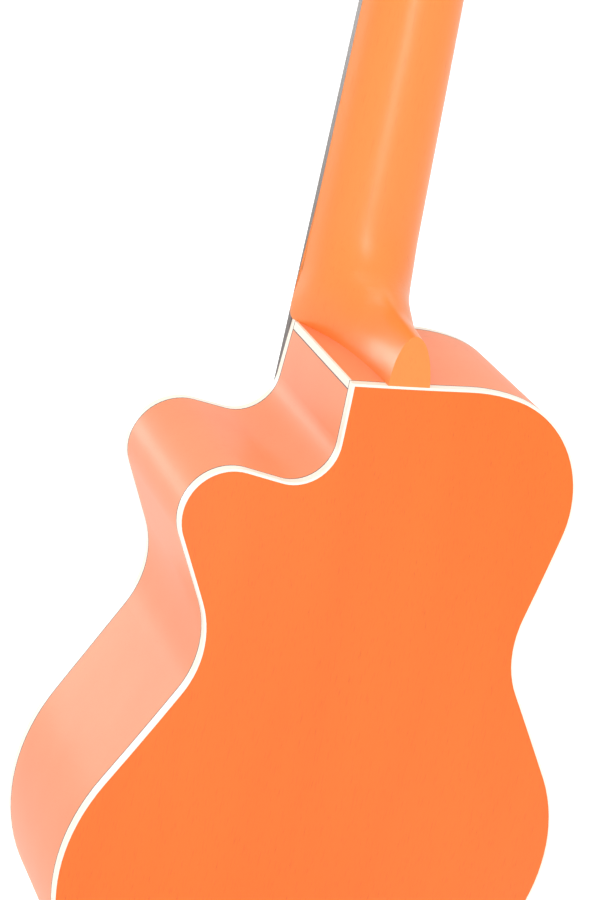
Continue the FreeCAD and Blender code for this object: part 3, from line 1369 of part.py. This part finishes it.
def make_screws():
    """Round headed screws that hold the tuner plates to the headstock."""
    screws = []
    back = value(PLATE_BACK)
    radius, head = value("screw_radius"), value("screw_head_radius")
    height, length = value("screw_head_height"), value("screw_length")
    profile = [(0, height), (0, -length), (radius, radius - length), (radius, 0), (head, 0)]
    profile += [(head * out, height * up) for out, up in SCREW_HEAD_SHARES]
    corners = [vector(x, y, 0) for x, y in profile]
    turned = Part.Face(Part.makePolygon(corners + corners[:1])).revolve(vector(0, 0, 0), vector(0, 1, 0), 360)
    for side, s in post_places():
        for offset in (value("screw_top"), -value("screw_bottom")):
            screw = turned.copy()
            screw.translate(vector(side * value("post_offset"), back, s + offset))
            screws.append(in_head(screw))
    keep("plate_screws", Part.makeCompound(screws))


def write_parts():
    doc.recompute()
    os.makedirs("parts", exist_ok=True)
    for made in doc.Objects:
        if "Invalid" in made.State or "Error" in made.State:
            raise RuntimeError("%s failed: %s" % (made.Name, made.State))
    for label, made in NODES.items():
        shape = made.Shape
        if shape.isNull() or not shape.isValid() or not shape.Solids:
            raise RuntimeError("%s has no valid solid" % label)
        solids = shape.Solids
        whole = solids[0] if len(solids) == 1 else Part.makeCompound(solids)
        whole.exportStep("parts/%s.step" % label)
    print("%d nodes written" % len(NODES))


make_soundboard()
make_rosette()
make_back()
make_sides()
make_bindings()
make_corner_strip()
make_blocks()
make_linings()
make_top_brace("upper_brace", SOUND_HOLE + " + hole_radius + brace_gap + brace_width / 2")
make_top_brace("lower_brace", "(%s - hole_radius + %s + plate_length / 2) / 2" % (SOUND_HOLE, BRIDGE_PLATE))
make_fan_braces()
make_bridge_plate()
make_back_brace("upper_back_brace", SHOULDER + " - waist_drop / 2")
make_back_brace("waist_back_brace", WAIST)
make_back_brace("lower_back_brace", WAIST + " - lower_bout_drop")
make_neck()
make_dowels()
make_veneer()
make_fingerboard()
make_dots()
make_frets()
make_nut()
make_bridge()
make_saddle()
for index, (name, (side, s)) in enumerate(zip(STRINGS, post_places())):
    make_string(index, name, side, s)
    label = "tuner_%s_" % name
    make_tuner_plate(label + "plate", side, s)
    make_worm(label + "worm", side, s)
    make_button(label + "button", side, s)
    make_wheel(label + "wheel", side, s)
    make_post(label + "post", side, s)
make_bushings()
make_screws()
write_parts()
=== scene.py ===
import math

import bpy
from mathutils import Matrix, Vector


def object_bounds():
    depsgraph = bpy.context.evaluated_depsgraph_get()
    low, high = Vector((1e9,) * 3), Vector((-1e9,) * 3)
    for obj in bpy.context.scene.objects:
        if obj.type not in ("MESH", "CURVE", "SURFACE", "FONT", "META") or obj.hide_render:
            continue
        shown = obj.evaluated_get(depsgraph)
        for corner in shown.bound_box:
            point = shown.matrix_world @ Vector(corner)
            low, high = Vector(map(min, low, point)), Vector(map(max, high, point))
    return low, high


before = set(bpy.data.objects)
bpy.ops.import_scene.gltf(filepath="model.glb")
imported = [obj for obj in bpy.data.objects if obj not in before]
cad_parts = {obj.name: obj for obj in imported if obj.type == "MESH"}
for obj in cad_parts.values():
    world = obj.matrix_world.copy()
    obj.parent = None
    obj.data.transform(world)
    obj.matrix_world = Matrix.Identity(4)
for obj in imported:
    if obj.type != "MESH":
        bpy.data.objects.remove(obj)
cad_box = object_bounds()

# The back is a plate of quarter-sawn mahogany, arched, sanded and finished with a thin satin
# lacquer. Its pores are open: short dark dashes along the grain, finer than half a millimetre.


def linear(hex_colour):
    """A material's sRGB hex as the linear colour that the shaders take."""
    channels = [int(hex_colour[i:i + 2], 16) / 255 for i in (0, 2, 4)]
    return [c / 12.92 if c <= 0.04045 else ((c + 0.055) / 1.055) ** 2.4 for c in channels] + [1.0]


def add(tree, kind, links=(), settings=(), **values):
    """Add one node: settings are its own, values its sockets', links are (socket, output) pairs."""
    made = tree.nodes.new("ShaderNode" + kind)
    for name, setting in dict(settings).items():
        setattr(made, name, setting)
    for name, number in values.items():
        made.inputs[name.replace("_", " ")].default_value = number
    for name, output in links:
        tree.links.new(made.inputs[name], output)
    return made


def blend(tree, factor, first, second):
    """The colour between two: each is a list of channels or another node's output."""
    made = add(tree, "Mix", [("Factor", factor)], {"data_type": "RGBA"})
    sockets = [socket for socket in made.inputs if socket.type == "RGBA"]
    for socket, colour in zip(sockets, (first, second)):
        if isinstance(colour, list):
            socket.default_value = colour
        else:
            tree.links.new(socket, colour)
    return [output for output in made.outputs if output.type == "RGBA"][0]


def between(tree, factor, low, high):
    """A number that runs from low to high as the factor runs from nought to one."""
    return add(tree, "MapRange", [("Value", factor)], To_Min=low, To_Max=high).outputs[0]


def new_material(name):
    """An empty material, its shader, and the place on the object in metres."""
    made = bpy.data.materials.new(name)
    made.use_nodes = True
    tree = made.node_tree
    return made, tree, tree.nodes["Principled BSDF"], add(tree, "TexCoord").outputs["Object"]


def stretch(tree, place, along, squeeze):
    """The place with one axis squeezed, so that a texture on it is drawn out along that axis."""
    factors = [1.0 if axis != along else squeeze for axis in "xyz"]
    return add(tree, "Mapping", [("Vector", place)], Scale=factors).outputs[0]


def lacquered_wood(name, light, dark, pore, along, lacquer, pore_share=0.5, coat=0.35):
    """Open-pored wood under lacquer. Along is the grain's direction, lacquer its roughness,
    pore_share how far the pores darken it and coat how much clear gloss lies over it."""
    # A metre of wood across the grain holds about forty ribbons of figure, and along it four
    ribbons_per_metre, patches_per_metre, grain_squeeze = 42.0, 9.0, 0.1
    # The pores are about 0.4 mm apart across the grain and 5 mm long, a little coarse so they show
    pores_per_metre, pore_squeeze, pore_start, pore_end = 2600.0, 0.07, 0.60, 0.74
    made, tree, shader, place = new_material(name)
    grain = stretch(tree, place, along, grain_squeeze)
    figure = add(tree, "TexNoise", [("Vector", grain)], Scale=ribbons_per_metre, Detail=3.0, Roughness=0.55)
    broad = add(tree, "TexNoise", [("Vector", grain)], Scale=patches_per_metre, Detail=2.0, Roughness=0.5)
    tones = blend(tree, figure.outputs[0], linear(dark), linear(light))
    shade = between(tree, broad.outputs[0], 0.94, 1.06)
    board = add(tree, "HueSaturation", [("Color", tones), ("Value", shade)])
    thin = stretch(tree, place, along, pore_squeeze)
    dashes = add(tree, "TexNoise", [("Vector", thin)], Scale=pores_per_metre, Detail=1.0, Roughness=0.4)
    pores = add(tree, "MapRange", [("Value", dashes.outputs[0])], From_Min=pore_start, From_Max=pore_end,
                To_Min=0.0, To_Max=pore_share)
    grained = blend(tree, pores.outputs[0], board.outputs[0], linear(pore))
    tree.links.new(shader.inputs["Base Color"], grained)
    sunk = add(tree, "Bump", [("Height", pores.outputs[0])], {"invert": True}, Strength=0.12, Distance=0.0002)
    tree.links.new(shader.inputs["Normal"], sunk.outputs[0])
    gloss = between(tree, broad.outputs[0], lacquer - 0.04, lacquer + 0.05)
    tree.links.new(shader.inputs["Roughness"], gloss)
    shader.inputs["IOR"].default_value = 1.5
    shader.inputs["Coat Weight"].default_value = coat
    shader.inputs["Coat Roughness"].default_value = 0.3
    shader.inputs["Coat IOR"].default_value = 1.5
    return made


def finish(material, names):
    """Give CAD pieces their material."""
    for name in names:
        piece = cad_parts[name]
        piece.data.materials.clear()
        piece.data.materials.append(material)


back_mahogany = lacquered_wood("mahogany_satin_back", "FF761A", "F86C14", "B44C14", along="z", lacquer=0.5,
                               pore_share=0.3, coat=0.05)
finish(back_mahogany, ["back_plate"])

# The sides are two strips of the same mahogany, bent over a hot pipe, with the grain along the
# strip. They are thin, and their satin lacquer catches the light from the side. Their colours are
# painted paler than the back's: a painted sheen, laid over the real sheen that the low lamp gives.

side_mahogany_painted_sheen = lacquered_wood("mahogany_sides_painted_sheen", "FF9868", "FC905E", "C86C3C", along="x", lacquer=0.54,
                               pore_share=0.2, coat=0.25)
finish(side_mahogany_painted_sheen, ["bass_side", "treble_side"])

# The soundboard is a thin plate of mahogany with straighter, quieter figure, so that it is stiff
# along the strings and bends across them. The bridge's pull makes it work, and braces hold it.

top_mahogany = lacquered_wood("mahogany_satin_top", "EE8850", "E27842", "A8502A", along="z", lacquer=0.45)
finish(top_mahogany, ["soundboard"])

# Blocks, kerfed linings and braces are bare spruce and cedar: pale, dry and unlacquered. They
# are seen only through the sound hole, so one sanded wood does for all of them.

bare_spruce = lacquered_wood("spruce_sanded", "E8CFA0", "D8B985", "B8935C", along="x", lacquer=0.75,
                             pore_share=0.25, coat=0.0)
finish(bare_spruce, ["neck_block", "tail_block", "front_lining", "back_lining", "upper_brace", "lower_brace",
                     "fan_braces", "bridge_plate", "upper_back_brace", "waist_back_brace",
                     "lower_back_brace", "neck_dowels"])

# The binding is extruded cream plastic, scraped flush with the wood and lacquered over. It looks
# soft white with a faint warm mottle.


def moulded(name, colour, roughness, coat, mottle_size, mottle):
    """A plastic with a slight mottle: mottle_size is in metres, mottle a share of its brightness."""
    made, tree, shader, place = new_material(name)
    cloud = add(tree, "TexNoise", [("Vector", place)], Scale=1 / mottle_size, Detail=3.0, Roughness=0.6)
    shade = between(tree, cloud.outputs[0], 1 - mottle, 1 + mottle)
    tinted = add(tree, "HueSaturation", [("Value", shade)], Color=linear(colour))
    tree.links.new(shader.inputs["Base Color"], tinted.outputs[0])
    gloss = between(tree, cloud.outputs[0], roughness - 0.04, roughness + 0.05)
    tree.links.new(shader.inputs["Roughness"], gloss)
    ripple = add(tree, "Bump", [("Height", cloud.outputs[0])], Strength=0.05, Distance=0.0001)
    tree.links.new(shader.inputs["Normal"], ripple.outputs[0])
    shader.inputs["IOR"].default_value = 1.5
    shader.inputs["Coat Weight"].default_value = coat
    shader.inputs["Coat Roughness"].default_value = 0.25
    return made


cream_binding = moulded("cream_binding_scraped", "FFF9E8", roughness=0.4, coat=0.3, mottle_size=0.004,
                        mottle=0.02)
finish(cream_binding, ["front_binding", "back_binding", "corner_binding"])

# The purfling is a strip of black fibre, let in beside the binding while both are bent round
# the box. It shows as a fine dark line where the cream meets the mahogany.

black_fibre = moulded("black_fibre_purfling", "4A3630", roughness=0.6, coat=0.2, mottle_size=0.001,
                      mottle=0.15)
finish(black_fibre, ["front_purfling", "back_purfling", "corner_purfling"])

# The rosette is a set of rosewood rings, let into the soundboard round the sound hole and
# levelled with it, so that the lacquer runs over both.

rosette_wood = lacquered_wood("rosewood_rosette", "4A2C20", "35201A", "1C110E", along="x", lacquer=0.4)
finish(rosette_wood, ["rosette"])

# The neck is carved from one piece of mahogany with its heel and headstock. The grain runs along
# it, and the satin lacquer gives one long soft highlight.

neck_mahogany = lacquered_wood("mahogany_satin_neck", "FF9444", "FC8C3C", "D06A2C", along="z", lacquer=0.35,
                               pore_share=0.2, coat=0.1)
finish(neck_mahogany, ["neck"])

# The headstock's facing, the fingerboard and the bridge are rosewood, sanded fine and oiled. The
# oil leaves the pores open and the wood with hardly any gloss of its own.

oiled_rosewood = lacquered_wood("rosewood_oiled", "5A4D46", "483E39", "282120", along="z", lacquer=0.42,
                                pore_share=0.6, coat=0.05)
finish(oiled_rosewood, ["headstock_veneer", "fingerboard", "bridge"])

# Frets are drawn nickel silver, pressed into their slots, levelled, crowned and polished. The
# marks of the polishing run across the board.


def metal(name, colour, roughness, brush_size, direction):
    """A metal with fine brush or turning marks: brush_size is their spacing in metres."""
    mark_squeeze = 0.05
    made, tree, shader, place = new_material(name)
    stretched = stretch(tree, place, direction, mark_squeeze)
    marks = add(tree, "TexNoise", [("Vector", stretched)], Scale=1 / brush_size, Detail=2.0, Roughness=0.5)
    shine = between(tree, marks.outputs[0], roughness - 0.06, roughness + 0.08)
    tree.links.new(shader.inputs["Roughness"], shine)
    tone = between(tree, marks.outputs[0], 0.95, 1.05)
    tinted = add(tree, "HueSaturation", [("Value", tone)], Color=linear(colour))
    tree.links.new(shader.inputs["Base Color"], tinted.outputs[0])
    scratched = add(tree, "Bump", [("Height", marks.outputs[0])], Strength=0.05, Distance=0.00005)
    tree.links.new(shader.inputs["Normal"], scratched.outputs[0])
    shader.inputs["Metallic"].default_value = 1.0
    return made


nickel_silver = metal("nickel_silver_polished", "D8D4CA", roughness=0.24, brush_size=0.0006, direction="x")
finish(nickel_silver, ["frets"])

# Position markers are discs of mother of pearl, cut thin, glued into round pockets and polished
# flush with the board. The small ones on the board's edge are for the player.

pearl = moulded("mother_of_pearl_polished", "F0F2EE", roughness=0.2, coat=0.5, mottle_size=0.0015, mottle=0.08)
finish(pearl, ["face_markers", "side_markers"])

# The nut and the saddle are bleached cattle bone, filed to the strings' height and polished.
# Bone is slightly warm and has a faint cloudy grain.

bone = moulded("bone_polished", "F4EEDC", roughness=0.32, coat=0.3, mottle_size=0.0012, mottle=0.03)
finish(bone, ["nut", "saddle"])

# The strings are clear nylon, extruded smooth, so that a little light passes through them. The
# wound turns on the posts are the same string.

nylon = moulded("nylon_clear", "F2F0E6", roughness=0.22, coat=0.3, mottle_size=0.003, mottle=0.02)
nylon.node_tree.nodes["Principled BSDF"].inputs["Transmission Weight"].default_value = 0.25
finish(nylon, ["string_g", "string_c", "string_e", "string_a"])

# The tuners are stamped and turned steel, nickel plated. Each wheel is cut from brass and left
# bright, and each button is moulded from black plastic with a soft gloss.

nickel_plate = metal("steel_nickel_plated", "BDB9B2", roughness=0.28, brush_size=0.0008, direction="z")
cut_brass = metal("brass_cut", "E0BC6A", roughness=0.3, brush_size=0.0004, direction="x")
black_abs = moulded("black_plastic_moulded", "1A1816", roughness=0.28, coat=0.3, mottle_size=0.002, mottle=0.1)
for string in "gcea":
    finish(nickel_plate, ["tuner_%s_%s" % (string, piece) for piece in ("plate", "worm", "post")])
    finish(cut_brass, ["tuner_%s_wheel" % string])
    finish(black_abs, ["tuner_%s_button" % string])
finish(nickel_plate, ["post_bushings", "plate_screws"])

# The ukulele is photographed over white paper. The paper is a plain pale floor that takes the
# shadow, and straight from the camera it shows plain white where no shadow falls on it.


def seen_directly(tree):
    """One for rays from the camera or off metal or through glass, and nought for other light."""
    path = add(tree, "LightPath")
    largest = path.outputs["Is Camera Ray"]
    for kind in ("Is Glossy Ray", "Is Transmission Ray"):
        largest = add(tree, "Math", [(0, largest), (1, path.outputs[kind])],
                      {"operation": "MAXIMUM"}).outputs[0]
    return largest


lowest = cad_box[0][2]
reach = 4.0
paper_glow = 0.4
mesh = bpy.data.meshes.new("studio_floor")
mesh.from_pydata([(-reach, -reach, lowest), (reach, -reach, lowest), (reach, reach, lowest),
                  (-reach, reach, lowest)], [], [(0, 1, 2, 3)])
floor = bpy.data.objects.new("studio_floor", mesh)
bpy.context.scene.collection.objects.link(floor)
paper = bpy.data.materials.new("studio_paper")
paper.use_nodes = True
paper_shader = paper.node_tree.nodes["Principled BSDF"]
paper_shader.inputs["Base Color"].default_value = linear("FCFCFC")
paper_shader.inputs["Roughness"].default_value = 0.9
paper_shader.inputs["Emission Color"].default_value = linear("FFFFFF")
lift = between(paper.node_tree, seen_directly(paper.node_tree), 0.0, paper_glow)
paper.node_tree.links.new(paper_shader.inputs["Emission Strength"], lift)
mesh.materials.append(paper)

# The studio: a white surround, an upright softbox behind the ukulele whose reflection runs down
# the neck, a fill on the cutaway's side, one overhead and a low one whose sheen pales the sides.

surround_light, surround_white = 0.62, 1.0
world = bpy.data.worlds.new("studio")
bpy.context.scene.world = world
world.use_nodes = True
tree = world.node_tree
strength = between(tree, seen_directly(tree), surround_light, surround_white)
background = tree.nodes["Background"]
background.inputs["Color"].default_value = linear("FFFFFF")
tree.links.new(background.inputs["Strength"], strength)


def soft_lamp(name, place, target, wide, high, watts):
    """A softbox that faces the target."""
    light = bpy.data.lights.new(name, "AREA")
    light.shape = "RECTANGLE"
    light.size = wide
    light.size_y = high
    light.energy = watts
    lamp = bpy.data.objects.new(name, light)
    lamp.location = place
    lamp.rotation_euler = (Vector(target) - Vector(place)).to_track_quat("-Z", "Y").to_euler()
    bpy.context.scene.collection.objects.link(lamp)


soft_lamp("strip_lamp", (0.13, 1.5, -0.02), (0, 0.03, -0.12), wide=0.38, high=0.9, watts=7.0)
soft_lamp("fill_lamp", (0.8, 0.4, 1.2), (0, 0.03, -0.3), wide=1.2, high=1.2, watts=6.0)
soft_lamp("top_lamp", (-0.1, -0.2, 1.6), (0, 0.03, -0.2), wide=1.6, high=1.6, watts=10.0)
soft_lamp("sheen_lamp", (0.6, -1.65, -0.28), (0, 0.03, -0.35), wide=1.5, high=0.4, watts=9.0)

# The camera stands behind the ukulele, to the treble side and a little above, and is rolled, as
# the photograph's was. Its place and turn were solved from the outline in the photograph.

place = Vector((0.38391, 0.84032, 0.09059))
azimuth, elevation, roll = math.radians(24.0977), math.radians(21.1948), math.radians(-11.5712)
sensor_mm, lens_mm = 36.0, 98.84
towards = Vector((-math.sin(azimuth) * math.cos(elevation), -math.cos(azimuth) * math.cos(elevation),
                  -math.sin(elevation)))
right = towards.cross(Vector((0, 0, 1))).normalized()
down = towards.cross(right)
rolled_right = right * math.cos(roll) + down * math.sin(roll)
rolled_down = down * math.cos(roll) - right * math.sin(roll)
camera_data = bpy.data.cameras.new("photo_camera")
camera_data.sensor_width = sensor_mm
camera_data.lens = lens_mm
camera = bpy.data.objects.new("photo_camera", camera_data)
turn = Matrix((rolled_right, -rolled_down, -towards)).transposed()
camera.matrix_world = Matrix.Translation(place) @ turn.to_4x4()
bpy.context.scene.collection.objects.link(camera)
bpy.context.scene.camera = camera
bpy.context.scene.view_settings.view_transform = "Standard"
